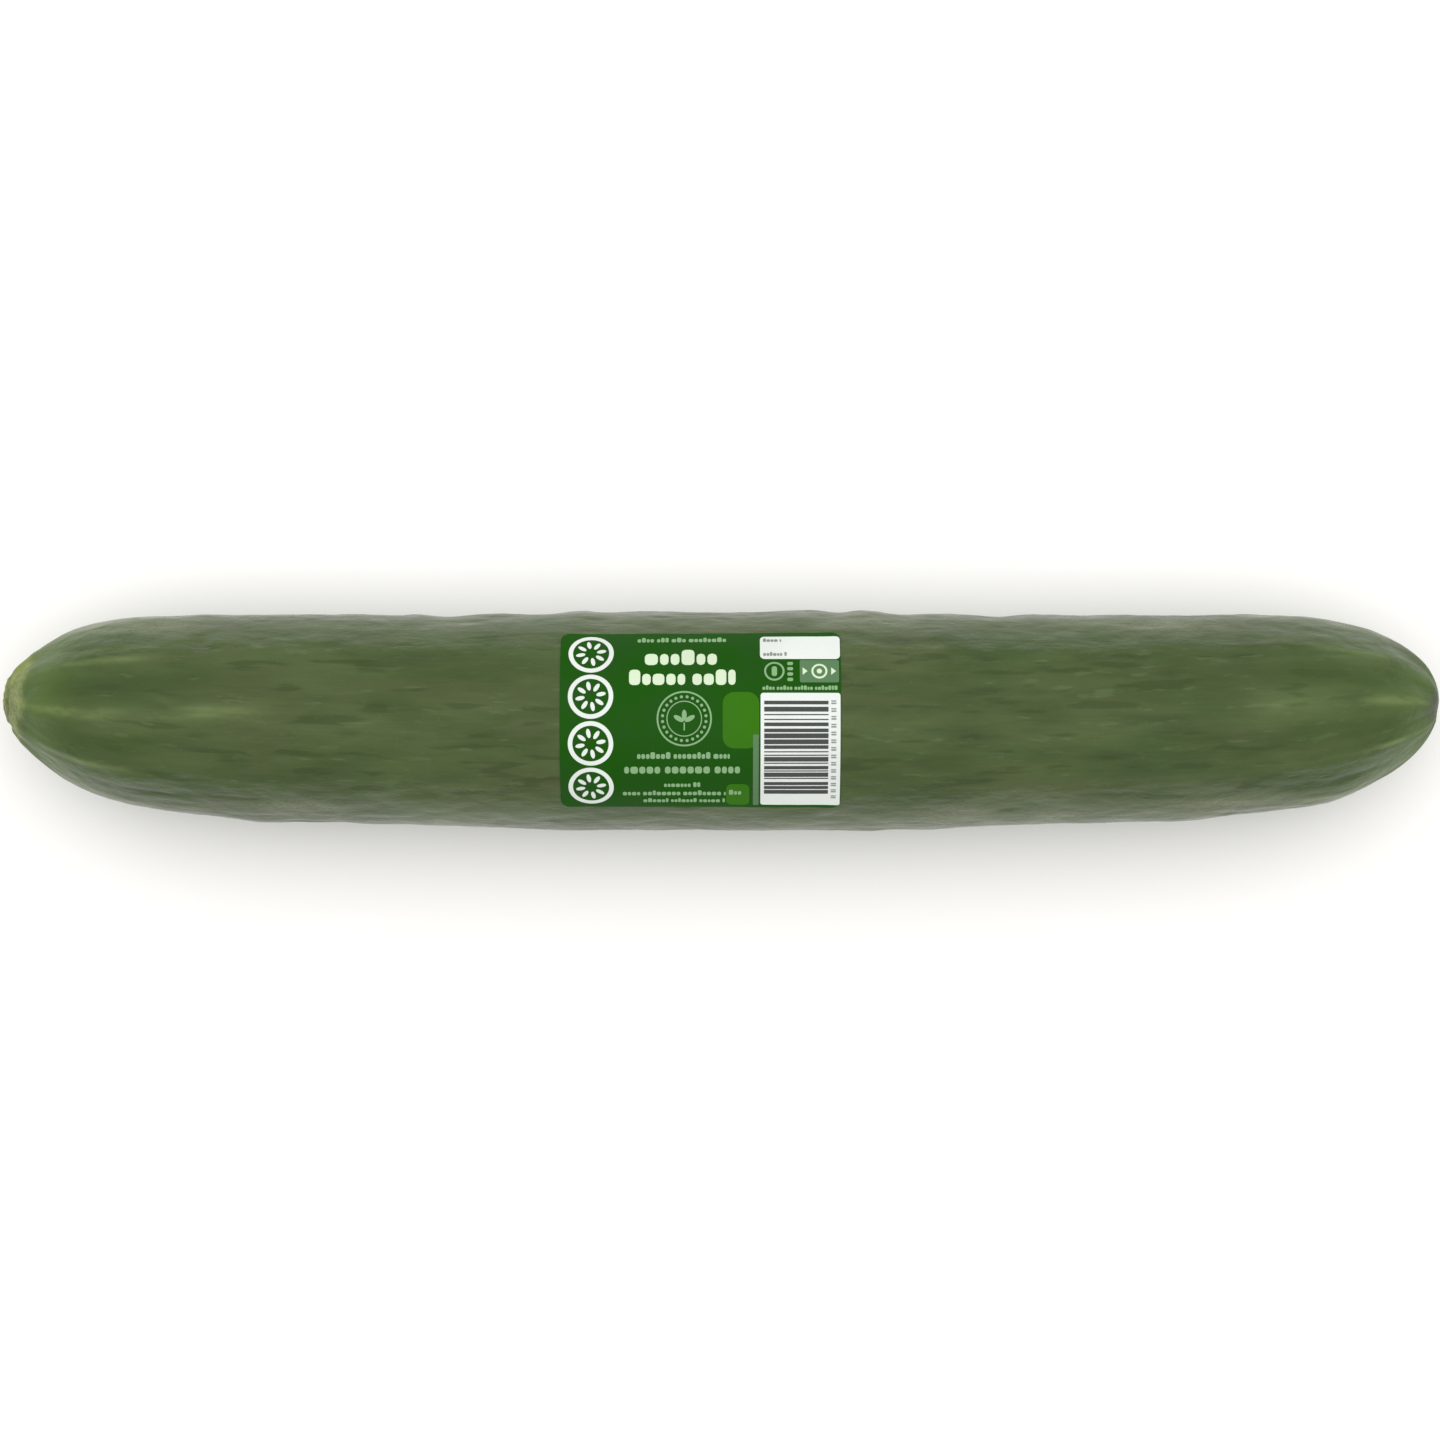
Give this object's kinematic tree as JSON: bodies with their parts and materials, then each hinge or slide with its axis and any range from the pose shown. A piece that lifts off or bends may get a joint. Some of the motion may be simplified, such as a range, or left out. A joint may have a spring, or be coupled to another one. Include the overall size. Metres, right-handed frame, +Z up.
{
  "type": "cucumber",
  "caption": "Long English cucumber, whole and lying on its side, with a slight bow, a pale stem-end scar and a rectangular printed sticker on its upper side.",
  "frame": {"origin": "under the middle of the fruit, on the surface that it rests on", "axes": "+X runs lengthwise from the stem end to the blossom end, +Y is the hollow side of its slight bow, +Z is up through the middle of the sticker"},
  "size_m": [0.33, 0.0502, 0.0505],
  "materials": {
    "skin": "satin",
    "print": "satin"
  },
  "bodies": {
    "root": {"cucumber": "skin", "label": "print"}
  },
  "joints": []
}
